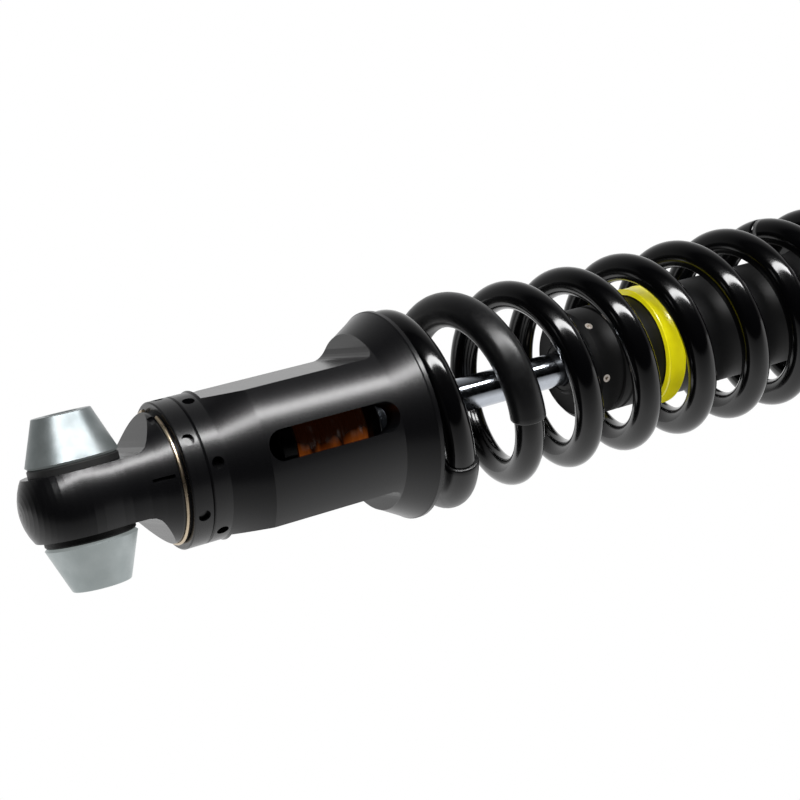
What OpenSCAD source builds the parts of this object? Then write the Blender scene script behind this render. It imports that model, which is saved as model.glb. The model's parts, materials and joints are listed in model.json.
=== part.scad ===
// Rear shock absorber for a motorcycle: a single-tube gas damper inside a coil spring.
// The shock lies along +X with the centre of its lower eye at the origin. Both eye bolts are
// parallel to Z. It is drawn fully extended, with the preload collar at its softest setting.

/* [Overall] */
// Distance between the two eye centres, fully extended
eye_to_eye = 460; // [456:1:480]
// Travel of the damper tube along the rod
stroke = 92; // [60:1:92]
// Smoothness of turned surfaces
smoothness = 72; // [48:12:120]
// Radial gap between parts that slide or turn on each other
running_gap = 0.04; // [0.02:0.01:0.08]

/* [Eyes] */
// Radius of the lower eye
lower_eye_r = 22.5; // [21:0.5:24]
// Radius of the upper eye
upper_eye_r = 20; // [19:0.5:21]
// Thickness of both eyes
eye_t = 23; // [22:0.5:24]
// Diameter of the eye bolts
bolt_d = 12; // [10:1:14]
// Radius of the swivel ball
ball_r = 12; // [11.5:0.5:12.5]
// Width over the two lower spacers
lower_width = 63; // [56:0.2:70]
// Width over the two upper spacers
upper_width = 40; // [36:1:46]
// Radius of a lower spacer at its wide end
spacer_wide_r = 16.8; // [16:0.2:18.4]
// Radius of a lower spacer at its narrow end
spacer_narrow_r = 10.8; // [10:0.2:14]

/* [Lower mount and rebound ring] */
// Radius of the shank at the eye
shank_r = 20.9; // [19.5:0.1:21]
// Radius of the journal that carries the rebound ring
journal_r = 24.6; // [24.4:0.1:24.8]
// Where the rebound ring starts
ring_x = 31.5; // [31.4:0.1:31.8]
// Width of the rebound ring
ring_w = 7.8; // [7.4:0.1:8]
// Outer radius of the rebound ring
ring_r = 27.8; // [27.4:0.1:28.4]
// Number of tool holes round the rebound ring, and round the seat housing
tool_holes = 6; // [4:1:8]
// Diameter of a tool hole
tool_hole_d = 4.6; // [3:0.1:5]
// How far the rebound needle moves
needle_travel = 2; // [1:0.1:2]

/* [Spring seat housing] */
// Largest radius of the housing body
housing_r = 35; // [34:0.5:36]
// Distance of each milled flat from the axis
flat_h = 25.5; // [25.2:0.1:26]
// Turn of the housing about the shock's axis, where it was locked
housing_turn = -2; // [-10:0.1:10]
// Angle of the windows from the flats' own sides
window_angle = 6.5; // [0:0.1:10]
// Width of a window
window_w = 11.6; // [8:0.2:14]
// Radius of the flange under the spring
flange_r = 41.4; // [40.4:0.2:43]
// Where the spring rests on the housing
seat_x = 126.5; // [126:0.1:128]

/* [Spring] */
// Wire diameter
wire_d = 11.4; // [10:0.2:11.6]
// Outer diameter of the coils
spring_od = 81; // [80:0.5:84]
// Distance between neighbouring coils in the middle of the spring
pitch = 28.3; // [27:0.1:29]
// Length between the two spring seats
spring_l = 231; // [228:1:234]
// Thickness of the protective sleeves
sleeve_t = 1.3; // [1:0.1:1.6]

/* [Damper] */
// Rod diameter
rod_d = 14; // [14:0.5:14.5]
// Outer radius of the tube
tube_r = 23; // [22.8:0.1:23.2]
// Bore radius of the tube
bore_r = 20; // [19.8:0.1:20.2]
// Where the cylinder head starts
head_x = 206.5; // [206.5:0.5:208]
// Start of the accent ring
accent_x = 243.5; // [240:0.5:248]
// Radius of the preload collar
collar_r = 33; // [31:0.5:36]
// Travel of the preload collar
preload_travel = 8; // [4:1:8]

/* [Hidden] */
$fn = smoothness;

black_anodised = [0.08, 0.08, 0.09];
zinc = [0.72, 0.75, 0.78];
steel = [0.6, 0.61, 0.63];
bronze = [0.72, 0.55, 0.3];
rubber = [0.05, 0.05, 0.05];

rod_r = rod_d / 2;
needle_r = 2.5;
needle_bore_r = 2.6;
cross_pin_r = 1.25;
bolt_r = bolt_d / 2;
touch = 0.02;          // axial gap left between faces that rest on each other
over = 1;              // how far a cut runs past the surface that it opens

// Eye bearing
race_r = 15;
race_half = 6;
ball_half = 9;
circlip_w = 1.2;
circlip_groove_r = 16;
seal_inner_z = ball_half + 0.1;
seal_top = 14.2;
spacer_foot = 14.4;
spigot_r = 8.5;
lower_eye_fillet = 3.2;

// Rebound ring stack
journal_x = 26.5;
journal_end = ring_x + ring_w + 0.05;
boss_r = 19;
boss_end = 52;
rod_start = 38.6;
wire_ring_r = 0.7;
wire_ring_x = ring_x - 1.2;
wire_ring_path = journal_r + 0.3;
cross_pin_x = 34.4;
recess_r = 25.6;
ring_hole_x = 35.3;
ring_hole_depth = 1.7;
detent_x = 36.2;
detent_turn = 150;
detent_ball_r = 1.5;
detent_ball_at = journal_r - 1.1;
ring_hole_turn = 26.8;
notch_turn = 62;
mark_turn = 3;

// Seat housing
housing_x = journal_end + 0.05;
band_end = 46.5;
cone_end = 60;
floor_x = 56;
nut_room_r = 13.5;
chamber_r = 22;
counterbore_x = 112;
counterbore_r = 23.4;
window_x0 = 60.5;
window_x1 = 113.5;
flat_x0 = 47.5;
flat_end = 113.6;
flat_fillet = 4;
flare_x = 113.8;
housing_hole_x = 43.2;
housing_hole_depth = 3;
spigot_ring_r = 27.4;
spigot_ring_h = 5;

// Bump stop stack
nut_end = 60;
bump_x0 = 77.6;
bump_x1 = 108.5;
bump_cup_end = 113.8;
bump_r = 19;
bump_waist = 15.8;
bump_lobes = 3;
bump_seat_r = 20;

// Damper internals
tube_end = 432;
spigot_end = 262;
rod_step = 266.5;
rod_end = 291.5;
rod_thread_r = 5;
piston_x = 270;
piston_h = 10;
floating_x = 392;
floating_h = 14;
cap_x = 420;
thread_x0 = 340;
thread_x1 = 398;
thread_r = 24;
collar_bore_r = thread_r + 0.1;

// Spring path, in turns of wire from a tip. Each pair is [turns from the tip, share of the full pitch].
spring_r = (spring_od - wire_d) / 2;
low_end = [[0.42, 0], [0.66, 1.17], [1.25, 1.17], [1.45, 1]];
high_end = [[0.3, 0], [0.6, 0.85], [2.4, 0.85], [3.6, 1]];
tip_turn = 0.35;       // turns from the lower tip to the top of the first coil
steps_per_turn = 28;
sleeve_from = 19;      // station, counted from the spring's tip, where a sleeve starts
sleeve_to = 46;        // and where it ends
spring_sides = 12;
top_seat_x = seat_x + spring_l;

// ---- helpers -------------------------------------------------------------------------------

// A body turned about the X axis. Each point is [radius, position along X].
module turned(profile) rotate([0, 90, 0]) rotate_extrude() polygon(profile);

// A plain ring about the X axis, from x0 to x1.
module ring(x0, x1, r_out, r_in) {
    difference() {
        rod(x0, x1, r_out);
        rod(x0 - over, x1 + over, r_in);
    }
}

module rod(x0, x1, r) translate([x0, 0, 0]) rotate([0, 90, 0]) cylinder(h = x1 - x0, r = r);

// A round seal about the X axis.
module o_ring(x, path_r, section_r) {
    translate([x, 0, 0]) rotate([0, 90, 0]) rotate_extrude()
        translate([path_r, 0]) circle(r = section_r, $fn = 24);
}

// Turns its children by an angle from -Y towards +Z, for features that face outwards.
module facing(angle) rotate([-angle, 0, 0]) children();

// A hole that enters from -Y, at a distance along X, to a depth from radius r.
module drill(x, r, depth, hole_r) {
    translate([x, -r - over, 0]) rotate([-90, 0, 0]) cylinder(h = depth + over, r = hole_r, $fn = 32);
}

// Points of an arc round [cx, cy], both in a profile's [radius, x] plane.
function arc(cx, cy, r, a0, a1, n = 6) =
    [for (i = [0:n]) let (a = a0 + (a1 - a0) * i / n) [cx + r * cos(a), cy + r * sin(a)]];

// Adds up a list.
function total(v, i = 0) = i < len(v) ? v[i] + total(v, i + 1) : 0;

// Turns' worth of full pitch climbed at u turns from a tip, when the pitch follows the given end.
function climbed(u, end) =
    total([for (i = [0:len(end) - 2])
        let (
            a = end[i],
            b = end[i + 1],
            t = min(max(u, a[0]), b[0]),
            share = a[1] + (b[1] - a[1]) * (t - a[0]) / (b[0] - a[0])
        )
        (t - a[0]) * (a[1] + share) / 2
    ]) + max(u - end[len(end) - 1][0], 0);

settled = 4;           // turns from a tip after which the pitch is full at both ends
turns = (spring_l - wire_d) / pitch + 2 * settled - climbed(settled, low_end) - climbed(settled, high_end);

function spring_x(u) =
    u < turns / 2
        ? seat_x + wire_d / 2 + pitch * climbed(u, low_end)
        : top_seat_x - wire_d / 2 - pitch * climbed(turns - u, high_end);

function spring_angle(u) = 360 * (tip_turn - u);

// Rise of the wire, as an angle, at station u.
function slope(u) = atan((spring_x(u + 0.01) - spring_x(u - 0.01)) / 0.02 / (2 * PI * spring_r));

// A ring of points round the wire's centreline at station u, square to the wire.
function wire_section(u, section_r) =
    let (a = spring_angle(u), s = slope(u), x = spring_x(u))
    [for (k = [0:spring_sides - 1])
        let (
            b = 360 * k / spring_sides,
            r = spring_r + section_r * cos(b),
            t = section_r * sin(b)
        )
        [
            x + t * cos(s),
            r * sin(a) + t * sin(s) * cos(a),
            r * cos(a) - t * sin(s) * sin(a)
        ]
    ];

stations = round(turns * steps_per_turn);
function station_u(i) = turns * i / stations;

// Rings of points along the wire, from one station to another.
function wire_points(i0, i1, section_r) =
    [for (i = [i0:i1]) each wire_section(station_u(i), section_r)];

// Triangles that join consecutive rings of points, turned inside out on request.
function wall_faces(rings, first, inward) =
    [for (i = [0:rings - 2], k = [0:spring_sides - 1])
        let (
            a = first + i * spring_sides + k,
            b = first + i * spring_sides + (k + 1) % spring_sides,
            c = a + spring_sides,
            d = b + spring_sides
        )
        each inward ? [[a, c, b], [b, c, d]] : [[a, b, c], [b, d, c]]
    ];

// Triangles that join the outer wall to the inner wall at one end of a sleeve.
function rim_faces(outer, inner, flip) =
    [for (k = [0:spring_sides - 1])
        let (
            a = outer + k,
            b = outer + (k + 1) % spring_sides,
            c = inner + k,
            d = inner + (k + 1) % spring_sides
        )
        each flip ? [[a, b, c], [b, d, c]] : [[a, c, b], [b, c, d]]
    ];

module sleeve(i0, i1) {
    rings = i1 - i0 + 1;
    count = rings * spring_sides;
    last = count - spring_sides;
    polyhedron(
        points = concat(
            wire_points(i0, i1, wire_d / 2 + 0.04 + sleeve_t),
            wire_points(i0, i1, wire_d / 2 + 0.04)
        ),
        faces = concat(
            wall_faces(rings, 0, false),
            wall_faces(rings, count, true),
            rim_faces(0, count, false),
            rim_faces(last, count + last, true)
        )
    );
}

// ---- eye bearings --------------------------------------------------------------------------

// A plate for both faces of an eye: its children once above and once below.
module both_faces() {
    children();
    mirror([0, 0, 1]) children();
}

// The eye itself, with a rounded rim, drawn solid.
module eye_body(r) {
    half = eye_t / 2;
    f = lower_eye_fillet;
    rotate_extrude()
        polygon(concat(
            [[0, -half]],
            arc(r - f, -half + f, f, -90, 0),
            arc(r - f, half - f, f, 0, 90),
            [[0, half]]
        ));
}

// The room in an eye for the race, its two circlips and the seals.
module eye_room() {
    cylinder(h = eye_t + 2 * over, r = race_r + touch, center = true);
    both_faces() translate([0, 0, race_half + touch]) cylinder(h = circlip_w + 2 * touch, r = circlip_groove_r);
}

module race() {
    difference() {
        cylinder(h = 2 * race_half, r = race_r, center = true);
        sphere(r = ball_r + running_gap);
    }
}

module ball() {
    difference() {
        intersection() {
            sphere(r = ball_r);
            cylinder(h = 2 * ball_half, r = ball_r + over, center = true);
        }
        cylinder(h = 2 * ball_half + 2 * over, r = bolt_r, center = true);
    }
}

module circlips() {
    both_faces() translate([0, 0, race_half + 2 * touch]) difference() {
        cylinder(h = circlip_w, r = circlip_groove_r - touch);
        translate([0, 0, -over]) cylinder(h = circlip_w + 2 * over, r = race_r - 1.8);
        translate([0, -2, -over]) cube([circlip_groove_r + over, 4, circlip_w + 2 * over]);
    }
}

// Seals that fill the mouths of an eye. A shoulder stands out of the eye up to z = top.
module seals(shoulder_r, top) {
    eye_face = eye_t / 2;
    lip = 0.5;
    hole = spigot_r + running_gap;
    both_faces() rotate_extrude() polygon([
        [hole, seal_inner_z],
        [race_r - touch, seal_inner_z],
        [race_r - touch, eye_face + touch],
        [shoulder_r, eye_face + touch],
        [shoulder_r, top - lip],
        [shoulder_r - lip, top],
        [hole, top]
    ]);
}

// A spacer beside the ball: a foot through the seal, then a cone out to the bolt's clamping face.
module spacer(foot_z, end_z, wide_r, narrow_r) {
    edge = 0.8;
    rotate_extrude() polygon([
        [bolt_r, ball_half + touch],
        [spigot_r, ball_half + touch],
        [spigot_r, foot_z],
        [wide_r - edge, foot_z],
        [wide_r, foot_z + edge],
        [narrow_r, end_z - edge / 4],
        [narrow_r - edge / 4, end_z],
        [bolt_r, end_z]
    ]);
}

// ---- lower mount and rebound ring ----------------------------------------------------------

module lower_mount() color(black_anodised) {
    groove = wire_ring_path - wire_ring_r - touch;
    slot_end = cross_pin_x + needle_travel + cross_pin_r + 0.1;
    slot_start = cross_pin_x - cross_pin_r - 0.1;
    waist_x = -lower_eye_r * cos(84);
    waist_r = lower_eye_r * sin(84);
    flare_x = 12;
    flare_end = wire_ring_x - wire_ring_r - 0.9;
    wall_x = 17;
    difference() {
        intersection() {
                turned(concat(
                    [for (a = [0:6:84]) lower_eye_r * [sin(a), -cos(a)]],
                    [for (t = [0.25:0.25:1]) [
                        shank_r + (waist_r - shank_r) * (1 + cos(180 * t)) / 2,
                        waist_x + (flare_x - waist_x) * t
                    ]],
                    [for (t = [0.4:0.3:1]) [
                        shank_r + (journal_r - shank_r) * t * t,
                        flare_x + (flare_end - flare_x) * t
                    ]],
                    [
                    [journal_r, wire_ring_x - wire_ring_r - 0.1],
                    [journal_r, wire_ring_x + wire_ring_r + 0.1],
                    [journal_r, journal_end],
                    [boss_r, journal_end],
                    [boss_r, boss_end],
                    [0, boss_end]
                    ]
                ));
                rotate([90, 0, 0]) linear_extrude(height = 4 * journal_r, center = true) polygon([
                    [-lower_eye_r - over, -eye_t / 2],
                    [wall_x, -eye_t / 2],
                    [wall_x + 2.5, -eye_t / 2 - 0.5],
                    [wall_x + 4.6, -eye_t / 2 - 1.9],
                    [wall_x + 6.2, -eye_t / 2 - 4.1],
                    [ring_x - 2.5, -journal_r - 0.6],
                    [boss_end, -journal_r - 0.6],
                    [boss_end, journal_r + 0.6],
                    [ring_x - 2.5, journal_r + 0.6],
                    [wall_x + 6.2, eye_t / 2 + 4.1],
                    [wall_x + 4.6, eye_t / 2 + 1.9],
                    [wall_x + 2.5, eye_t / 2 + 0.5],
                    [wall_x, eye_t / 2],
                    [-lower_eye_r - over, eye_t / 2]
                ]);
        }
        eye_room();
        ring(wire_ring_x - wire_ring_r - touch, wire_ring_x + wire_ring_r + touch, journal_r + over, groove);
        rod(rod_start, boss_end + over, rod_r + touch);
        rod(slot_start - 2, rod_start + over, needle_bore_r);
        translate([slot_start, -cross_pin_r - 0.1, -journal_r - over])
            cube([slot_end - slot_start, 2 * cross_pin_r + 0.2, 2 * journal_r + 2 * over]);
        facing(detent_turn) drill(detent_x, journal_r, 6, detent_ball_r + running_gap);
        facing(mark_turn) translate([24.2, -22.6, 0]) rotate([0, 0, -14]) cube([8, 1.6, 1.5], center = true);
        facing(notch_turn) translate([wire_ring_x - 1.6, -journal_r, 0]) cube([2.8, 2.4, 5], center = true);
    }
}

module lower_bearing_race() color(steel) race();

module lower_swivel_ball() color(steel) ball();

module lower_circlips() color(steel) circlips();

module lower_seals() color(rubber) seals(16.5, seal_top);

module lower_spacer_top() color(zinc) spacer(spacer_foot, lower_width / 2, spacer_wide_r, spacer_narrow_r);

module lower_spacer_bottom() color(zinc) mirror([0, 0, 1])
    spacer(spacer_foot, lower_width / 2, spacer_wide_r, spacer_narrow_r);

module wire_snap_ring() color(bronze) difference() {
    o_ring(wire_ring_x, wire_ring_path, wire_ring_r);
    facing(notch_turn + 16) translate([wire_ring_x, -journal_r, 0]) cube([4, 6, 13.6], center = true);
}

module rebound_ring() color(black_anodised) {
    edge = 0.5;
    bore = journal_r + running_gap;
    recess_x0 = cross_pin_x - cross_pin_r - 0.1;
    recess_x1 = cross_pin_x + needle_travel + cross_pin_r + 0.1;
    difference() {
        turned([
            [bore, ring_x],
            [ring_r - edge, ring_x],
            [ring_r, ring_x + edge],
            [ring_r, ring_x + ring_w - edge],
            [ring_r - edge, ring_x + ring_w],
            [bore, ring_x + ring_w],
            [bore, recess_x1],
            [recess_r, recess_x1],
            [recess_r, recess_x0],
            [bore, recess_x0]
        ]);
        for (k = [0:tool_holes - 1])
            facing(ring_hole_turn + 360 * k / tool_holes)
                drill(ring_hole_x, ring_r, ring_hole_depth, tool_hole_d / 2);
    }
}

module detent_ball() color(steel) facing(detent_turn)
    translate([detent_x, -detent_ball_at, 0]) sphere(r = detent_ball_r);

module detent_spring() color(steel) facing(detent_turn)
    translate([detent_x, -journal_r + 5.9, 0]) rotate([90, 0, 0])
        linear_extrude(height = 3.2, twist = -360 * 4, slices = 48) translate([1, 0]) circle(r = 0.28, $fn = 8);

module adjuster_cross_pin() color(steel) translate([cross_pin_x, 0, 0])
    cylinder(h = 2 * (recess_r - 0.3), r = cross_pin_r, center = true);

module rebound_needle() color(steel) {
    tip_x = rod_step - 11;
    difference() {
        turned([
            [0, cross_pin_x - 2.4],
            [needle_r, cross_pin_x - 2.4],
            [needle_r, tip_x - 6],
            [0.8, tip_x],
            [0, tip_x]
        ]);
        translate([cross_pin_x, 0, 0]) cylinder(h = 4 * needle_r, r = cross_pin_r + touch, center = true);
    }
}

// ---- spring seat housing -------------------------------------------------------------------

module window_cut() {
    w = window_w / 2;
    length = window_x1 - window_x0 - window_w;
    for (side = [0, 180]) facing(side) translate([window_x0 + w, -housing_r - 4, 0]) rotate([-90, 0, 0]) {
        cylinder(h = 22, r = w);
        translate([length, 0, 0]) cylinder(h = 22, r = w);
        translate([0, -w, 0]) cube([length, window_w, 22]);
    }
}

module flat_cut() {
    both_faces() rotate([90, 0, 0]) linear_extrude(height = 4 * housing_r, center = true) polygon([
        [flat_x0, flange_r + 5],
        [flat_x0, flat_h],
        each arc(flat_end - flat_fillet, flat_h + flat_fillet, flat_fillet, -90, 0),
        [flat_end, flange_r + 5]
    ]);
}

module spring_seat_housing() color(black_anodised) facing(housing_turn) {
    edge = 0.5;
    face = seat_x - touch;
    difference() {
        turned(concat(
            [
                [boss_r + touch, housing_x],
                [ring_r - edge, housing_x],
                [ring_r, housing_x + edge],
                [ring_r, band_end],
                [housing_r, cone_end],
                [housing_r, flare_x]
            ],
            [
                [flange_r - 0.4, 124.2],
                [flange_r, 124.6],
                [flange_r, face - 0.4],
                [flange_r - 0.4, face],
                [spigot_ring_r, face],
                [spigot_ring_r, face + spigot_ring_h - edge],
                [spigot_ring_r - edge, face + spigot_ring_h],
                [counterbore_r, face + spigot_ring_h],
                [counterbore_r, counterbore_x],
                [chamber_r, counterbore_x],
                [chamber_r, floor_x],
                [nut_room_r, floor_x],
                [nut_room_r, boss_end + touch],
                [boss_r + touch, boss_end + touch]
            ]
        ));
        flat_cut();
        facing(window_angle) window_cut();
        for (k = [0:tool_holes - 1])
            facing(window_angle + 360 * k / tool_holes)
                drill(housing_hole_x, ring_r, housing_hole_depth, tool_hole_d / 2);
    }
}

// ---- rod and bump stop ---------------------------------------------------------------------

module jam_nut() color(steel) difference() {
    translate([boss_end + 2 * touch, 0, 0]) rotate([0, 90, 0])
        cylinder(h = nut_end - boss_end - 2 * touch, r = 12, $fn = 6);
    rod(boss_end, nut_end + over, rod_r + touch);
}

module bump_stop_seat() color(black_anodised) turned([
    [rod_r + touch, nut_end + touch],
    [13, nut_end + touch],
    [13, 68],
    [bump_seat_r - 1, 70.5],
    [bump_seat_r, 71.5],
    [bump_seat_r, bump_x0 - 1],
    [bump_seat_r - 0.8, bump_x0 - touch],
    [rod_r + touch, bump_x0 - touch]
]);

module bump_stop() color([0.75, 0.38, 0.08]) {
    lobe = (bump_x1 - bump_x0) / bump_lobes;
    bulge = bump_r - bump_waist;
    turned(concat(
        [[rod_r + 0.3, bump_x0]],
        [for (i = [0:bump_lobes - 1], k = [0:8])
            [
                bump_waist + bulge * sqrt(max(1 - pow(k / 4 - 1, 2), 0)),
                bump_x0 + lobe * (i + 0.04 + 0.92 * k / 8)
            ]],
        [[rod_r + 0.3, bump_x1]]
    ));
}

module bump_stop_cup() color(black_anodised) turned([
    [rod_r + 0.3, bump_x1 + touch],
    [15.5, bump_x1 + touch],
    [17.2, bump_x1 + 1.2],
    [17.2, bump_cup_end - 0.8],
    [16.4, bump_cup_end],
    [rod_r + 0.3, bump_cup_end]
]);

module piston_rod() color(zinc) {
    port_x = 255;
    difference() {
        turned([
            [0, rod_start + touch],
            [rod_r - 0.5, rod_start + touch],
            [rod_r, rod_start + 0.5],
            [rod_r, rod_step],
            [rod_thread_r, rod_step],
            [rod_thread_r, rod_end - 0.5],
            [rod_thread_r - 0.5, rod_end],
            [0, rod_end]
        ]);
        rod(rod_start - over, rod_step - 8, needle_bore_r);
        rod(rod_step - 9, rod_end + over, 1.5);
        translate([port_x, 0, 0]) rotate([90, 0, 0]) cylinder(h = 4 * rod_r, r = 1.4, center = true);
    }
}

// ---- cylinder head and tube ----------------------------------------------------------------

head_r = tube_r - 0.6;
head_pocket_r = 9.5;
seal_x = 226;
screw_x = 214;
screw_turn = 42;
screw_r = 1.6;

module cylinder_head() color(black_anodised) {
    fit = bore_r - running_gap;
    difference() {
        turned([
            [head_pocket_r + touch, head_x],
            [10.2, head_x],
            [11.4, head_x + 1.6],
            [11.8, head_x + 3],
            [20.6, head_x + 4],
            [head_r, head_x + 5.6],
            [head_r, 221.5],
            [head_r - 0.8, 222],
            [head_r - 0.8, 223.2],
            [head_r, 223.7],
            [head_r, 226.5],
            [head_r - 0.6, 227],
            [head_r - 0.6, 228.2],
            [head_r, 228.7],
            [head_r, accent_x - touch],
            [fit, accent_x - touch],
            [fit, 254.6],
            [fit - 2.2, 254.6],
            [fit - 2.2, 257.4],
            [fit, 257.4],
            [fit, spigot_end],
            [head_pocket_r + touch, spigot_end],
            [head_pocket_r + touch, seal_x],
            [rod_r + 0.3, seal_x],
            [rod_r + 0.3, head_x + 4.6],
            [head_pocket_r + touch, head_x + 4.6]
        ]);
        for (k = [0:tool_holes - 1])
            facing(screw_turn + 360 * k / tool_holes) drill(screw_x, head_r, 3, screw_r + touch);
    }
}

module head_screws() color(zinc)
    for (k = [0:tool_holes - 1])
        facing(screw_turn + 360 * k / tool_holes)
            translate([screw_x, -head_r + 0.06, 0]) rotate([-90, 0, 0]) difference() {
                cylinder(h = 2.6, r = screw_r, $fn = 32);
                translate([0, 0, -over]) cylinder(h = 2.2, r = 0.8, $fn = 6);
            }

module rod_wiper() color(rubber) turned([
    [rod_r + 0.05, head_x + 0.6],
    [rod_r + 0.6, head_x],
    [head_pocket_r, head_x + 0.3],
    [head_pocket_r, head_x + 4.5],
    [rod_r + 0.05, head_x + 4.5]
]);

module rod_seal() color(rubber) ring(seal_x + touch, 234 - touch, head_pocket_r, rod_r + 0.05);

module rod_bushing() color(bronze) ring(234, spigot_end, head_pocket_r, rod_r + running_gap);

module head_o_ring() color(rubber) o_ring(256, bore_r - 1.12, 1.04);

module accent_ring() color([0.85, 0.95, 0.1]) turned([
    [tube_r + touch, accent_x],
    [25.2, accent_x],
    [25.4, accent_x + 0.4],
    [25.2, accent_x + 1],
    [25.2, accent_x + 7.4],
    [25.4, accent_x + 8],
    [25.2, accent_x + 8.5],
    [tube_r + touch, accent_x + 8.5]
]);

module damper_tube() color(black_anodised) turned([
    [bore_r, accent_x],
    [tube_r, accent_x],
    [tube_r, thread_x0],
    [thread_r, thread_x0 + 1],
    [thread_r, thread_x1 - 1],
    [tube_r, thread_x1],
    [tube_r, tube_end],
    [bore_r, tube_end]
]);

// ---- piston --------------------------------------------------------------------------------

module top_out_bumper() color(rubber) ring(spigot_end + 0.1, rod_step - touch, 12, rod_r + 0.05);

module compression_shims() color(steel) {
    ring(rod_step + touch, rod_step + 1.2, 11, rod_thread_r + 0.05);
    ring(rod_step + 1.22, rod_step + 2.3, 13.5, rod_thread_r + 0.05);
    ring(rod_step + 2.32, piston_x - touch, 16, rod_thread_r + 0.05);
}

module piston() color(steel) difference() {
    ring(piston_x, piston_x + piston_h, bore_r - 0.4, rod_thread_r + 0.05);
    ring(piston_x + 2.4, piston_x + 7.6, bore_r, bore_r - 1.6);
    for (k = [0:5]) facing(60 * k) translate([piston_x - over, -12.5, 0]) rotate([0, 90, 0])
        cylinder(h = piston_h + 2 * over, r = 2, $fn = 32);
}

module piston_band() color(bronze)
    ring(piston_x + 2.5, piston_x + 7.5, bore_r - running_gap, bore_r - 1.55);

module rebound_shims() color(steel) {
    ring(piston_x + piston_h + touch, 281.2, 16, rod_thread_r + 0.05);
    ring(281.22, 282.2, 13, rod_thread_r + 0.05);
    ring(282.22, 283, 10.5, rod_thread_r + 0.05);
}

module piston_nut() color(steel) difference() {
    translate([283 + touch, 0, 0]) rotate([0, 90, 0]) cylinder(h = 6.5, r = 9, $fn = 6);
    rod(282, 291, rod_thread_r + touch);
}

module floating_piston() color([0.75, 0.76, 0.78]) {
    fit = bore_r - 0.1;
    turned([
        [0, floating_x],
        [fit - 0.6, floating_x],
        [fit, floating_x + 0.6],
        [fit, floating_x + 4.4],
        [fit - 2.2, floating_x + 4.4],
        [fit - 2.2, floating_x + 9],
        [fit, floating_x + 9],
        [fit, floating_x + floating_h],
        [13, floating_x + floating_h],
        [13, floating_x + 5],
        [0, floating_x + 5]
    ]);
}

module floating_piston_ring() color(rubber)
    ring(floating_x + 4.45, floating_x + 8.95, bore_r - running_gap, bore_r - 2.25);

// ---- upper mount ---------------------------------------------------------------------------

valve_y = 10;
valve_z = 15.6;

module cap_o_ring() color(rubber) o_ring(cap_x + 6, bore_r - 1.12, 1.04);

module upper_mount() color(black_anodised) {
    fit = bore_r - touch;
    difference() {
        union() {
            translate([eye_to_eye, 0, 0]) eye_body(upper_eye_r);
            turned([
                [0, cap_x],
                [fit - 0.6, cap_x],
                [fit, cap_x + 0.6],
                [fit, cap_x + 4.6],
                [fit - 2.2, cap_x + 4.6],
                [fit - 2.2, cap_x + 7.4],
                [fit, cap_x + 7.4],
                [fit, tube_end + touch],
                [tube_r, tube_end + touch],
                [tube_r, tube_end + 5.4],
                [tube_r - 0.6, tube_end + 6],
                [0, tube_end + 6]
            ]);
            intersection() {
                turned([
                    [0, tube_end + 5],
                    [tube_r - 1.5, tube_end + 5],
                    [upper_eye_r - 2.4, tube_end + 12],
                    [upper_eye_r - 2.4, eye_to_eye - 4],
                    [0, eye_to_eye - 4]
                ]);
                translate([eye_to_eye - 20, 0, 0]) cube([60, 4 * tube_r, eye_t], center = true);
            }
        }
        translate([eye_to_eye, 0, 0]) eye_room();
        translate([cap_x - over, valve_y, valve_z]) rotate([0, 90, 0]) cylinder(h = 30, r = 1, $fn = 32);
        translate([tube_end + 0.6, valve_y, valve_z]) rotate([0, 90, 0]) cylinder(h = 12, r = 2.22, $fn = 32);
    }
}

module gas_valve() color(bronze) translate([tube_end + 0.7, valve_y, valve_z]) rotate([0, 90, 0]) difference() {
    union() {
        cylinder(h = 10.4, r = 2.2, $fn = 32);
        translate([0, 0, 5.32]) cylinder(h = 1.2, r = 3, $fn = 6);
    }
    translate([0, 0, -over]) cylinder(h = 20, r = 0.8, $fn = 32);
}

module valve_cap() color(rubber) translate([tube_end + 7.3, valve_y, valve_z]) rotate([0, 90, 0]) difference() {
    cylinder(h = 6.4, r = 3.3, $fn = 32);
    translate([0, 0, -over]) cylinder(h = 5.4, r = 2.24, $fn = 32);
}

module upper_bearing_race() color(steel) translate([eye_to_eye, 0, 0]) race();

module upper_swivel_ball() color(steel) translate([eye_to_eye, 0, 0]) ball();

module upper_circlips() color(steel) translate([eye_to_eye, 0, 0]) circlips();

module upper_seals() color(rubber) translate([eye_to_eye, 0, 0]) seals(race_r - touch, eye_t / 2 + 0.5);

module upper_spacers() color(zinc) translate([eye_to_eye, 0, 0])
    both_faces() spacer(eye_t / 2 + 0.8, upper_width / 2, spigot_r + 2.5, spigot_r + 1.5);

// ---- spring preload ------------------------------------------------------------------------

seat_end = top_seat_x + 5.4;
washer_end = seat_end + 2;
collar_w = 18;
collar_slit = 2;
screw_at = 28.5;

module upper_spring_seat() color(black_anodised) turned([
    [collar_bore_r, top_seat_x - 5],
    [27.6, top_seat_x - 5],
    [28.2, top_seat_x - 4.4],
    [28.2, top_seat_x + touch],
    [39.4, top_seat_x + touch],
    [40, top_seat_x + 0.6],
    [40, top_seat_x + 4],
    [38.6, seat_end],
    [collar_bore_r, seat_end]
]);

module thrust_washer() color(bronze) ring(seat_end + touch, washer_end - touch, collar_r - 1, collar_bore_r);

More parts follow.
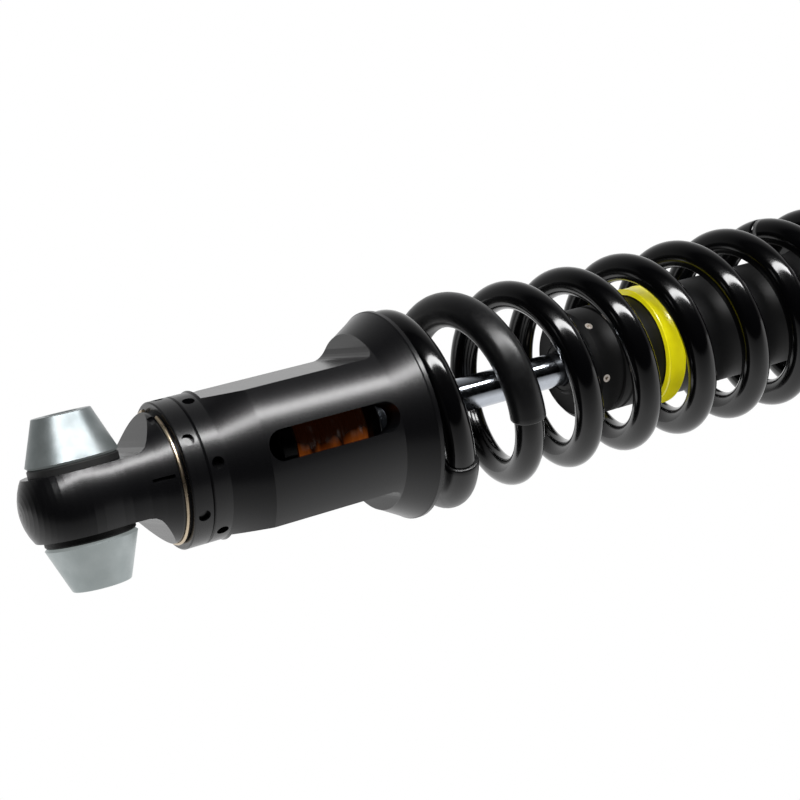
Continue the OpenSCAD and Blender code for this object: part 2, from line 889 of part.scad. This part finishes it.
module preload_collar() color(black_anodised) {
    x0 = washer_end;
    x1 = washer_end + collar_w;
    edge = 0.8;
    difference() {
        turned([
            [collar_bore_r, x0],
            [collar_r - edge, x0],
            [collar_r, x0 + edge],
            [collar_r, x1 - edge],
            [collar_r - edge, x1],
            [collar_bore_r, x1]
        ]);
        for (k = [1:7]) facing(45 * k) drill(x0 + collar_w / 2, collar_r, 4, 2.5);
        translate([x0 - over, -collar_r - over, -collar_slit / 2]) cube([collar_w + 2 * over, 12, collar_slit]);
        translate([x0 + collar_w / 2, -screw_at, -12]) cylinder(h = 24, r = 2.02, $fn = 32);
        translate([x0 + collar_w / 2, -screw_at, 6]) cylinder(h = 24, r = 3.6, $fn = 32);
    }
}

module collar_clamp_screw() color(steel)
    translate([washer_end + collar_w / 2, -screw_at, 0]) difference() {
        union() {
            translate([0, 0, -11.5]) cylinder(h = 18, r = 2, $fn = 32);
            translate([0, 0, 6.02]) cylinder(h = 3.6, r = 3.5, $fn = 32);
        }
        translate([0, 0, 7.5]) cylinder(h = 4, r = 1.6, $fn = 6);
    }

// ---- spring --------------------------------------------------------------------------------

module coil_spring() color(black_anodised) {
    first_cap = [[for (k = [0:spring_sides - 1]) k]];
    last_cap = [[for (k = [spring_sides - 1:-1:0]) stations * spring_sides + k]];
    polyhedron(
        points = wire_points(0, stations, wire_d / 2),
        faces = concat(wall_faces(stations + 1, 0, false), first_cap, last_cap)
    );
}

module lower_sleeve() color(rubber) sleeve(sleeve_from, sleeve_to);

lower_mount();
lower_bearing_race();
lower_swivel_ball();
lower_circlips();
lower_seals();
lower_spacer_top();
lower_spacer_bottom();
wire_snap_ring();
rebound_ring();
detent_ball();
detent_spring();
adjuster_cross_pin();
rebound_needle();
spring_seat_housing();
jam_nut();
bump_stop_seat();
bump_stop();
bump_stop_cup();
piston_rod();
cylinder_head();
head_screws();
rod_wiper();
rod_bushing();
rod_seal();
head_o_ring();
accent_ring();
damper_tube();
top_out_bumper();
compression_shims();
piston();
piston_band();
rebound_shims();
piston_nut();
floating_piston();
floating_piston_ring();
cap_o_ring();
upper_mount();
gas_valve();
valve_cap();
upper_spring_seat();
thrust_washer();
preload_collar();
collar_clamp_screw();
coil_spring();
lower_sleeve();
upper_bearing_race();
upper_swivel_ball();
upper_circlips();
upper_seals();
upper_spacers();
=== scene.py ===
"""Looks of the rear shock absorber: materials, smooth spring and sleeve, camera, floor, light."""

import json
import math

import bmesh
import bpy
from mathutils import Matrix, Vector


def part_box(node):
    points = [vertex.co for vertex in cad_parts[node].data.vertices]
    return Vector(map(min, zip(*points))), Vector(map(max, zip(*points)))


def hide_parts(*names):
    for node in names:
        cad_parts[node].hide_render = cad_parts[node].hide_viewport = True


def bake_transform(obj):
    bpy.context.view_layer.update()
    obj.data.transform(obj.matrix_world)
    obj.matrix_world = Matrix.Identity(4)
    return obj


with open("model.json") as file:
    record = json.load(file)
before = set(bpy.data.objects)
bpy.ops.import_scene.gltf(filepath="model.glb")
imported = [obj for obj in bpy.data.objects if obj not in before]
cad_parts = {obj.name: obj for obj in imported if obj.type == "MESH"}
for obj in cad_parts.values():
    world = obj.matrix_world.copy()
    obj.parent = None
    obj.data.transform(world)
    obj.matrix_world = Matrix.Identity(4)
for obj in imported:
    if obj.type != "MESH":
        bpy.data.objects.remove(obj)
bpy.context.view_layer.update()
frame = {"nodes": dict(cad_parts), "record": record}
nodes = frame["nodes"]
scene = bpy.context.scene
MM = 0.001
SHARP_ANGLE = math.radians(28)        # edges steeper than this stay sharp in the shading


# ---- materials ------------------------------------------------------------------------------

class Shader:
    """Builds one Principled material with procedural detail in object coordinates."""

    NOISE_LOW, NOISE_HIGH = 0.3, 0.7      # the range that a noise texture mostly stays in
    MIX_A, MIX_B, MIX_OUT = 6, 7, 2       # the colour sockets of a Mix node

    def __init__(self, name, base, metallic, rough, coat=0.0, coat_rough=0.05, specular=0.5):
        self.mat = bpy.data.materials.new(name)
        self.mat.use_nodes = True
        self.tree = self.mat.node_tree
        self.out = self.tree.nodes["Principled BSDF"]
        self.coords = self.tree.nodes.new("ShaderNodeTexCoord")
        self.height = None
        self.set("Base Color", (*base, 1.0))
        self.set("Metallic", metallic)
        self.set("Roughness", rough)
        self.set("Coat Weight", coat)
        self.set("Coat Roughness", coat_rough)
        self.set("Specular IOR Level", specular)
        self.base = base
        self.rough = rough

    def set(self, socket, value):
        self.out.inputs[socket].default_value = value

    def node(self, kind, **settings):
        made = self.tree.nodes.new(kind)
        for key, value in settings.items():
            setattr(made, key, value)
        return made

    def link(self, a, b):
        self.tree.links.new(a, b)

    def stretched(self, scale):
        """Object coordinates in millimetres, scaled along each axis."""
        mapping = self.node("ShaderNodeMapping")
        mapping.inputs["Scale"].default_value = [1000 * s for s in scale]
        self.link(self.coords.outputs["Object"], mapping.inputs["Vector"])
        return mapping.outputs["Vector"]

    def noise(self, scale, detail=3.0, vector=None):
        noise = self.node("ShaderNodeTexNoise")
        noise.inputs["Scale"].default_value = scale
        noise.inputs["Detail"].default_value = detail
        self.link(vector or self.stretched((1, 1, 1)), noise.inputs["Vector"])
        return noise.outputs["Fac"]

    def spread(self, value, low, high):
        remap = self.node("ShaderNodeMapRange")
        remap.inputs["From Min"].default_value = self.NOISE_LOW
        remap.inputs["From Max"].default_value = self.NOISE_HIGH
        remap.inputs["To Min"].default_value = low
        remap.inputs["To Max"].default_value = high
        self.link(value, remap.inputs["Value"])
        return remap.outputs["Result"]

    def vary_rough(self, value, amount):
        rough = self.spread(value, self.rough - amount, self.rough + amount)
        self.link(rough, self.out.inputs["Roughness"])
        return self

    def vary_colour(self, value, other, low=0.0, high=1.0):
        mix = self.node("ShaderNodeMix", data_type="RGBA")
        mix.inputs[self.MIX_A].default_value = (*self.base, 1.0)
        mix.inputs[self.MIX_B].default_value = (*other, 1.0)
        self.link(self.spread(value, low, high), mix.inputs["Factor"])
        self.link(mix.outputs[self.MIX_OUT], self.out.inputs["Base Color"])
        return self

    def bump(self, value, strength, distance_mm):
        bump = self.node("ShaderNodeBump")
        bump.inputs["Strength"].default_value = strength
        bump.inputs["Distance"].default_value = distance_mm * MM
        self.link(value, bump.inputs["Height"])
        if self.height is not None:
            self.link(self.height, bump.inputs["Normal"])
        self.height = bump.outputs["Normal"]
        self.link(self.height, self.out.inputs["Normal"])
        return self


def anodised(name, base, rough, specular=0.55):
    """Black anodised aluminium: a fine grain in the colour and faint turning lines in the gloss."""
    m = Shader(name, base, 0.0, rough, specular=specular)
    grain = m.noise(1.8, 4.0)
    turning = m.noise(1.0, 2.0, m.stretched((2.4, 0.02, 0.02)))
    m.vary_rough(turning, 0.008)
    m.vary_colour(grain, tuple(1.6 * c for c in base))
    return m.mat


def steel(name, base, rough, lines):
    """Bright metal with fine marks squeezed along the axis given by lines."""
    m = Shader(name, base, 1.0, rough)
    marks = m.noise(1.0, 3.0, m.stretched(lines))
    m.vary_rough(m.noise(0.4, 4.0), 0.04)
    m.vary_colour(m.noise(0.2, 4.0), tuple(c * 0.88 for c in base))
    return m.bump(marks, 0.12, 0.03).mat


def turned_zinc(name, painted_light):
    """Zinc plate over a turned cone. Its emission is painted light that lifts it, standing in for
    light bounced off the table.
    """
    m = Shader(name, (0.185, 0.20, 0.205), 0.95, 0.38)
    m.set("Emission Color", (0.56, 0.62, 0.61, 1.0))
    m.set("Emission Strength", painted_light)
    m.vary_rough(m.noise(0.3, 3.0), 0.03)
    m.vary_colour(m.noise(0.12, 4.0), (0.10, 0.115, 0.12))
    return m.bump(m.noise(1.0, 4.0, m.stretched((1.6, 1.6, 0.02))), 0.16, 0.05).mat


def rubber(name, base, rough):
    """Dull black rubber or moulded plastic with a fine moulded grain."""
    m = Shader(name, base, 0.0, rough, specular=0.35)
    m.vary_rough(m.noise(0.6, 4.0), 0.06)
    return m.bump(m.noise(5.0, 4.0), 0.1, 0.05).mat


def spring_paint():
    """Gloss black powder coat with a faint orange peel."""
    black = (0.001, 0.001, 0.0012)
    m = Shader("spring_paint", black, 0.0, 0.15, coat=0.2, coat_rough=0.08, specular=0.32)
    m.vary_rough(m.noise(0.1, 3.0), 0.02)
    return m.bump(m.noise(0.55, 2.0), 0.06, 0.12).mat


def sleeve_plastic():
    """The shrink sleeve on the spring: satin black, slightly uneven."""
    m = Shader("sleeve_plastic", (0.0025, 0.0025, 0.0028), 0.0, 0.32, specular=0.38)
    m.vary_rough(m.noise(0.35, 3.0), 0.03)
    return m.bump(m.noise(1.8, 4.0), 0.10, 0.06).mat


def urethane():
    """Amber urethane in a dark housing, with painted light and shade: by height its colour is
    painted dark at the top and bright on the lower side, with painted highlight streaks along the
    axis, and it glows with that colour.
    """
    painted_shade_z, painted_light_z = 7 * MM, -6 * MM
    m = Shader("amber_urethane", (0.035, 0.008, 0.002), 0.0, 0.25, coat=0.35, coat_rough=0.15)
    m.set("Subsurface Weight", 0.15)
    m.set("Subsurface Radius", (0.003, 0.0012, 0.0003))
    # Painted shade and light: dark above and bright below, set by object height and not by any lamp.
    height = m.node("ShaderNodeSeparateXYZ")
    m.link(m.coords.outputs["Object"], height.inputs["Vector"])
    painted_light_by_height = m.node("ShaderNodeMapRange")
    painted_light_by_height.inputs["From Min"].default_value = painted_shade_z
    painted_light_by_height.inputs["From Max"].default_value = painted_light_z
    m.link(height.outputs["Z"], painted_light_by_height.inputs["Value"])
    # Painted highlights: streaks along the axis, only where the lower side is painted bright.
    painted_light = m.node("ShaderNodeMath", operation="MULTIPLY")
    m.link(m.noise(0.2, 1.5, m.stretched((1.0, 0.05, 0.05))), painted_light.inputs[0])
    m.link(painted_light_by_height.outputs["Result"], painted_light.inputs[1])
    m.vary_colour(painted_light.outputs["Value"], (1.0, 0.235, 0.03), 0.0, 1.3)
    # The painted colour also feeds the emission: a painted glow.
    colour = m.out.inputs["Base Color"].links[0].from_socket
    m.link(colour, m.out.inputs["Emission Color"])
    m.set("Emission Strength", 0.14)
    return m.bump(m.noise(1.5, 4.0), 0.12, 0.08).mat


def yellow_plastic():
    """The accent ring: bright yellow, a little translucent, with a painted glow (emission) so it
    holds its colour in the shade.
    """
    m = Shader("yellow_plastic", (0.92, 0.82, 0.006), 0.0, 0.28, coat=0.3, coat_rough=0.1)
    m.set("Emission Color", (1.0, 0.89, 0.01, 1.0))
    m.set("Emission Strength", 0.2)
    m.vary_colour(m.noise(0.12, 2.0), (0.74, 0.68, 0.006))
    return m.bump(m.noise(2.0, 3.0), 0.05, 0.04).mat


SLOTS = {
    "black_anodised": anodised("black_anodised", (0.0016, 0.0016, 0.0019), 0.26, specular=0.43),
    "satin_black": anodised("satin_black", (0.003, 0.003, 0.0032), 0.33),
    "bearing_steel": steel("bearing_steel", (0.62, 0.63, 0.65), 0.16, (3, 3, 0.1)),
    "steel": steel("steel", (0.56, 0.57, 0.59), 0.26, (3, 0.5, 0.5)),
    # Zinc spacers: a faint emission on them is painted light.
    "zinc_plate": turned_zinc("zinc_plate", 0.14),
    "gold_wire": steel("gold_wire", (0.60, 0.49, 0.35), 0.3, (1, 1, 1)),
    "chrome_rod": steel("chrome_rod", (0.50, 0.53, 0.58), 0.12, (6.0, 0.05, 0.05)),
    "bronze": steel("bronze", (0.60, 0.40, 0.18), 0.34, (3, 0.5, 0.5)),
    "brass_valve": steel("brass_valve", (0.72, 0.55, 0.26), 0.26, (3, 0.5, 0.5)),
    "bare_aluminium": steel("bare_aluminium", (0.80, 0.81, 0.82), 0.3, (6, 0.1, 0.1)),
    "rubber": rubber("rubber", (0.012, 0.012, 0.012), 0.5),
    "black_plastic": rubber("black_plastic", (0.015, 0.015, 0.015), 0.42),
    "sleeve_plastic": sleeve_plastic(),
    "spring_paint": spring_paint(),
    "amber_urethane": urethane(),
    "yellow_plastic": yellow_plastic(),
}

# The tube and its head sit in the spring's shade and are blasted a little rougher than the mounts.
blasted = anodised("blasted_anodised", (0.0022, 0.0022, 0.0024), 0.5, specular=0.24)


def screws_painted_light():
    """Screw heads with painted light: an emission on their outer faces only; their hexagon holes
    stay dark.
    """
    face_depth = 0.3 * MM
    face_painted_light = 0.2
    m = Shader("screw_zinc_painted_light", (0.72, 0.66, 0.60), 1.0, 0.5)
    reach = max(math.hypot(v.co.y, v.co.z) for v in nodes["head_screws"].data.vertices)
    flatten = m.node("ShaderNodeVectorMath", operation="MULTIPLY")
    flatten.inputs[1].default_value = (0, 1, 1)
    radius = m.node("ShaderNodeVectorMath", operation="LENGTH")
    painted_light_faces = m.node("ShaderNodeMath", operation="GREATER_THAN")
    painted_light_faces.inputs[1].default_value = reach - face_depth
    strength = m.node("ShaderNodeMath", operation="MULTIPLY")
    strength.inputs[1].default_value = face_painted_light
    m.link(m.coords.outputs["Object"], flatten.inputs[0])
    m.link(flatten.outputs["Vector"], radius.inputs[0])
    m.link(radius.outputs["Value"], painted_light_faces.inputs[0])
    m.link(painted_light_faces.outputs["Value"], strength.inputs[0])
    m.link(strength.outputs["Value"], m.out.inputs["Emission Strength"])
    m.set("Emission Color", (0.7, 0.64, 0.58, 1.0))
    return m.bump(m.noise(3.0, 3.0), 0.08, 0.03).mat


# Nodes whose look differs from their slot's.
OWN = {
    "damper_tube": blasted,
    "cylinder_head": blasted,
    # The screw heads carry painted light on their outer faces.
    "head_screws": screws_painted_light(),
    # The bottom spacer is a brighter copy of the zinc: its stronger emission is painted light from
    # below.
    "lower_spacer_bottom": turned_zinc("zinc_plate_painted_bounce", 0.36),
}

for entry in frame["record"]["subparts"]:
    part = nodes[entry["node"]]
    part.data.materials.clear()
    part.data.materials.append(OWN.get(entry["node"], SLOTS[entry["material_slot"]]))


# ---- edges ----------------------------------------------------------------------------------

EDGE_ANGLE = math.radians(32)
EDGE_SEGMENTS = 2


def soften(name, width_mm):
    """Breaks the sharp edges of a machined node with a small bevel that catches the light."""
    bevel = nodes[name].modifiers.new("edge_break", "BEVEL")
    bevel.width = width_mm * MM
    bevel.segments = EDGE_SEGMENTS
    bevel.limit_method = "ANGLE"
    bevel.angle_limit = EDGE_ANGLE
    bevel.use_clamp_overlap = True
    bevel.harden_normals = True
    bevel.miter_outer = "MITER_ARC"


# Width of the broken edge in mm.
EDGES = {
    "lower_mount": 0.7,
    "spring_seat_housing": 0.35,
    "upper_mount": 0.6,
    "preload_collar": 0.4,
}
for name, width in EDGES.items():
    soften(name, width)

for name in nodes:
    for polygon in nodes[name].data.polygons:
        polygon.use_smooth = True
    nodes[name].data.set_sharp_from_angle(angle=SHARP_ANGLE)


# ---- spring and sleeve ---------------------------------------------------------------------
# The wire's path, in turns from its tip on the lower seat, as the CAD spring has it.

WIRE_R = 5.7
spring_low, spring_high = (list(corner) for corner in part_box("coil_spring"))
SEAT_LOW = spring_low[0] / MM
SEAT_HIGH = spring_high[0] / MM
COIL_R = 34.8
PITCH = 28.3
TIP_TURN = 0.35
# Each end as (turns from the tip, share of the pitch), and the turns by which the pitch has settled.
LOW_END = [(0.42, 0.0), (0.66, 1.17), (1.25, 1.17), (1.45, 1.0)]
HIGH_END = [(0.3, 0.0), (0.6, 0.85), (2.4, 0.85), (3.6, 1.0)]
SETTLED = 4


def climbed(u, end):
    """Turns' worth of full pitch climbed at u turns from a tip."""
    total = max(u - end[-1][0], 0.0)
    for (a, share_a), (b, share_b) in zip(end, end[1:]):
        t = min(max(u, a), b)
        share = share_a + (share_b - share_a) * (t - a) / (b - a)
        total += (t - a) * (share_a + share) / 2
    return total


TURNS = ((SEAT_HIGH - SEAT_LOW - 2 * WIRE_R) / PITCH + 2 * SETTLED
         - climbed(SETTLED, LOW_END) - climbed(SETTLED, HIGH_END))
SPLIT = TURNS - 1.64          # where the top piece of the spring starts
CLOSED_LOW = 0.9              # turns at the lower end that keep their shape as the spring shortens
CLOSED_HIGH = 1.0             # and at the upper end
SOLID = 11.9                  # least pitch in mm as the spring shortens
AROUND = 32
PER_TURN = 96


def wire_x(u):
    if u < TURNS / 2:
        return SEAT_LOW + WIRE_R + PITCH * climbed(u, LOW_END)
    return SEAT_HIGH - WIRE_R - PITCH * climbed(TURNS - u, HIGH_END)


def wire_frame(u):
    """Centre of the wire in mm, its outward direction and the one square to wire and radius."""
    a = math.radians(360 * (TIP_TURN - u))
    centre = Vector((wire_x(u), COIL_R * math.sin(a), COIL_R * math.cos(a)))
    outward = Vector((0, math.sin(a), math.cos(a)))
    round_dir = Vector((0, -math.cos(a), math.sin(a)))
    step = 0.01
    climb_per_turn = (wire_x(u + step) - wire_x(u - step)) / (2 * step)
    lean = math.atan(climb_per_turn / (2 * math.pi * COIL_R))
    side = Vector((math.cos(lean), 0, 0)) - round_dir * math.sin(lean)
    return centre, outward, side


def share_between(u, start, end, solid):
    """Share of the free space between two stations that lies before u: 0 at start, 1 at end."""
    def free(v):
        return wire_x(v) - solid * v
    if u <= start:
        return 0.0
    if u >= end:
        return 1.0
    return min(max((free(u) - free(start)) / (free(end) - free(start)), 0.0), 1.0)


def main_weight(u):
    """How far the lower piece follows the damper: 0 at the lower closed coil, 1 at the split."""
    return share_between(u, CLOSED_LOW, SPLIT, SOLID)


def top_weight(u):
    """How far the top piece follows the preload seat: 0 at the split, 1 at the upper closed coil."""
    return share_between(u, SPLIT, TURNS - CLOSED_HIGH, 0.0)


def swept(name, stations, weight, material):
    """A mesh swept along the wire. Each station is (u, section radius in mm)."""
    points, weights, faces = [], [], []
    for u, section_r in stations:
        centre, outward, side = wire_frame(u)
        for k in range(AROUND):
            b = 2 * math.pi * k / AROUND
            points.append((centre + section_r * (math.cos(b) * outward + math.sin(b) * side)) * MM)
            weights.append(weight(u))
    for i in range(len(stations) - 1):
        for k in range(AROUND):
            a, b = i * AROUND + k, i * AROUND + (k + 1) % AROUND
            faces.append((a, b, b + AROUND, a + AROUND))
    faces.append(tuple(range(AROUND))[::-1])
    faces.append(tuple(range(len(points) - AROUND, len(points))))
    mesh = bpy.data.meshes.new(name)
    mesh.from_pydata(points, [], faces)
    made = bpy.data.objects.new(name, mesh)
    scene.collection.objects.link(made)
    mesh.materials.append(SLOTS[material])
    clean = bmesh.new()
    clean.from_mesh(mesh)
    bmesh.ops.recalc_face_normals(clean, faces=clean.faces)
    clean.to_mesh(mesh)
    clean.free()
    for polygon in mesh.polygons:
        polygon.use_smooth = len(polygon.vertices) == 4
    return made, weights


def arc_mm(mm):
    """Turns of wire in a length of arc."""
    return mm / (2 * math.pi * COIL_R)


def wire_stations(u0, u1, round_start, round_end):
    """Stations of bare wire, with a rounded end face where one is asked for."""
    edge = 0.7
    count = round((u1 - u0) * PER_TURN)
    inner = [(u0 + (u1 - u0) * i / count, WIRE_R) for i in range(count + 1)]
    if round_start:
        inner[0] = (u0 + arc_mm(edge), WIRE_R)
        inner.insert(0, (u0 + arc_mm(edge * 0.3), WIRE_R - edge * 0.3))
        inner.insert(0, (u0, WIRE_R - edge))
    if round_end:
        inner[-1] = (u1 - arc_mm(edge), WIRE_R)
        inner.append((u1 - arc_mm(edge * 0.3), WIRE_R - edge * 0.3))
        inner.append((u1, WIRE_R - edge))
    return inner


def sleeve_stations(u0, u1):
    """A sleeve's outer skin with rounded rims that close onto the wire."""
    skin = 1.3
    count = round((u1 - u0) * PER_TURN)
    stations = [(u0, WIRE_R - 0.4), (u0, WIRE_R + 0.35 * skin)]
    stations.append((u0 + arc_mm(0.25), WIRE_R + 0.8 * skin))
    stations.append((u0 + arc_mm(0.7), WIRE_R + skin))
    for i in range(1, count):
        stations.append((u0 + (u1 - u0) * i / count, WIRE_R + skin))
    stations.append((u1 - arc_mm(0.7), WIRE_R + skin))
    stations.append((u1 - arc_mm(0.25), WIRE_R + 0.8 * skin))
    stations += [(u1, WIRE_R + 0.35 * skin), (u1, WIRE_R - 0.4)]
    return stations


def bend_with(piece, weights, a, b, start_mm, end_mm):
    """Bakes the piece's world transform into its mesh; it does not blend the piece between two
    bodies."""
    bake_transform(piece)


SLEEVE_FROM, SLEEVE_TO = 0.702, 1.657
LOWER_BLEND = (wire_x(CLOSED_LOW), wire_x(SPLIT))
TOP_BLEND = (wire_x(SPLIT), wire_x(TURNS - CLOSED_HIGH))

lower_wire = wire_stations(0, SPLIT, True, False)
top_wire = wire_stations(SPLIT, TURNS, False, True)
sleeve_skin = sleeve_stations(SLEEVE_FROM, SLEEVE_TO)
lower_coils, lower_weights = swept("spring_lower_coils", lower_wire, main_weight, "spring_paint")
top_coils, top_weights = swept("spring_top_coils", top_wire, top_weight, "spring_paint")
sleeve, sleeve_weights = swept("spring_sleeve", sleeve_skin, main_weight, "sleeve_plastic")
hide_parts("coil_spring")
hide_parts("lower_sleeve")
bend_with(lower_coils, lower_weights, "lower_unit", "damper_body", *LOWER_BLEND)
bend_with(sleeve, sleeve_weights, "lower_unit", "damper_body", *LOWER_BLEND)
bend_with(top_coils, top_weights, "damper_body", "preload_seat", *TOP_BLEND)


# ---- camera ---------------------------------------------------------------------------------

SENSOR, LENS = 36.0, 74.25            # mm
NEAR, FAR = 0.01, 100
AZIMUTH = math.radians(26.3)
ELEVATION = math.radians(4.3)
ROLL = math.radians(-12.95)
DEPTH = 0.587                 # metres from the camera to the lower eye, along the view
ACROSS, ABOVE = -0.1133, -0.0352      # metres from the view's middle to the lower eye, right and up

forward = Vector((
    math.sin(AZIMUTH) * math.cos(ELEVATION),
    math.cos(AZIMUTH) * math.cos(ELEVATION),
    -math.sin(ELEVATION),
))
level_right = Vector((math.cos(AZIMUTH), -math.sin(AZIMUTH), 0))
level_up = level_right.cross(forward)
right = math.cos(ROLL) * level_right + math.sin(ROLL) * level_up
up = -math.sin(ROLL) * level_right + math.cos(ROLL) * level_up
location = -(right * ACROSS + up * ABOVE + forward * DEPTH)

camera = bpy.data.objects.new("camera", bpy.data.cameras.new("camera"))
scene.collection.objects.link(camera)
camera.data.sensor_width = SENSOR
camera.data.lens = LENS
camera.data.clip_start = NEAR
camera.data.clip_end = FAR
camera.matrix_world = Matrix((
    (right.x, up.x, -forward.x, location.x),
    (right.y, up.y, -forward.y, location.y),
    (right.z, up.z, -forward.z, location.z),
    (0, 0, 0, 1),
))
scene.camera = camera


# ---- floor and light ------------------------------------------------------------------------

# Brightness as (value along the view's level direction, grey). The first two are the ramp's ends.
FLOOR_STOPS = [(-0.62, 0.0), (0.0, 1.0), (-0.52, 0.24), (-0.30, 0.42), (-0.17, 0.62)]
WORLD_STOPS = [(-0.12, 0.004), (1.0, 0.9), (0.0, 0.1), (0.45, 0.36), (0.9, 0.8)]
FLOOR_Z = -0.34
REACH = 30
CORNERS = [(-REACH, -REACH), (REACH, -REACH), (REACH, REACH), (-REACH, REACH)]

floor_mesh = bpy.data.meshes.new("floor")
floor_mesh.from_pydata([(x, y, FLOOR_Z) for x, y in CORNERS], [], [(0, 1, 2, 3)])
floor = bpy.data.objects.new("floor", floor_mesh)
scene.collection.objects.link(floor)


def two_looks(tree, seen, lit, output, socket):
    """The camera sees one shader directly; another one lights the object and is reflected in it."""
    path = tree.nodes.new("ShaderNodeLightPath")
    mix = tree.nodes.new("ShaderNodeMixShader")
    tree.links.new(path.outputs["Is Camera Ray"], mix.inputs[0])
    tree.links.new(lit, mix.inputs[1])
    tree.links.new(seen, mix.inputs[2])
    tree.links.new(mix.outputs[0], output.inputs[socket])


def graded(tree, position, direction, stops):
    """A grey ramp along a direction, between -1 and 1."""
    low, high = -1.0, 1.0
    along = tree.nodes.new("ShaderNodeVectorMath")
    along.operation = "DOT_PRODUCT"
    along.inputs[1].default_value = direction
    shift = tree.nodes.new("ShaderNodeMapRange")
    shift.inputs["From Min"].default_value = low
    shift.inputs["From Max"].default_value = high
    ramp = tree.nodes.new("ShaderNodeValToRGB")
    tree.links.new(position, along.inputs[0])
    tree.links.new(along.outputs["Value"], shift.inputs["Value"])
    tree.links.new(shift.outputs["Result"], ramp.inputs["Fac"])
    elements = ramp.color_ramp.elements
    for index, (value, grey) in enumerate(stops):
        place = (value - low) / (high - low)
        if index < 2:
            element = elements[index]
            element.position = place
        else:
            element = elements.new(place)
        element.color = (grey, grey, grey, 1)
    return ramp.outputs["Color"]


away = (math.sin(AZIMUTH), math.cos(AZIMUTH), 0.0)

# The floor is a plain white sweep. It is dimmer towards the camera, as a lit table's front edge is.
floor_material = bpy.data.materials.new("floor")
floor_material.use_nodes = True
tree = floor_material.node_tree
tree.nodes.clear()
place = tree.nodes.new("ShaderNodeNewGeometry")
lit = tree.nodes.new("ShaderNodeEmission")
tree.links.new(
    graded(tree, place.outputs["Position"], away, FLOOR_STOPS),
    lit.inputs["Color"])
seen = tree.nodes.new("ShaderNodeEmission")
seen.inputs["Color"].default_value = (1, 1, 1, 1)
output = tree.nodes.new("ShaderNodeOutputMaterial")
two_looks(tree, seen.outputs[0], lit.outputs[0], output, "Surface")
floor_mesh.materials.append(floor_material)

# White behind the object, dim on the camera's side: black surfaces that face the camera stay black.
world = bpy.data.worlds.new("studio")
scene.world = world
world.use_nodes = True
tree = world.node_tree
tree.nodes.clear()
coords = tree.nodes.new("ShaderNodeTexCoord")
lit = tree.nodes.new("ShaderNodeBackground")
tree.links.new(
    graded(tree, coords.outputs["Generated"], away, WORLD_STOPS),
    lit.inputs["Color"])
seen = tree.nodes.new("ShaderNodeBackground")
seen.inputs["Color"].default_value = (1, 1, 1, 1)
output = tree.nodes.new("ShaderNodeOutputWorld")
two_looks(tree, seen.outputs[0], lit.outputs[0], output, "Surface")


def softbox(name, centre, target, width, height, power):
    """A rectangular lamp that the camera doesn't see."""
    light = bpy.data.lights.new(name, "AREA")
    light.shape = "RECTANGLE"
    light.size = width
    light.size_y = height
    light.energy = power
    made = bpy.data.objects.new(name, light)
    scene.collection.objects.link(made)
    made.location = centre
    made.rotation_euler = (Vector(target) - Vector(centre)).to_track_quat("-Z", "X").to_euler()
    made.visible_camera = False


# A long strip above the camera's side, along the shock, gives each tube one clean line of light.
STRIP_TILT = math.radians(47)
STRIP_AWAY = 1.3
STRIP_WIDTH, STRIP_LENGTH, STRIP_POWER = 0.25, 2.6, 52
mid = Vector((0.20, 0.0, 0.0))
strip_at = mid + Vector((0, -math.cos(STRIP_TILT), math.sin(STRIP_TILT))) * STRIP_AWAY
softbox("strip", strip_at, mid, STRIP_WIDTH, STRIP_LENGTH, STRIP_POWER)

scene.view_settings.view_transform = "Standard"
scene.view_settings.look = "None"
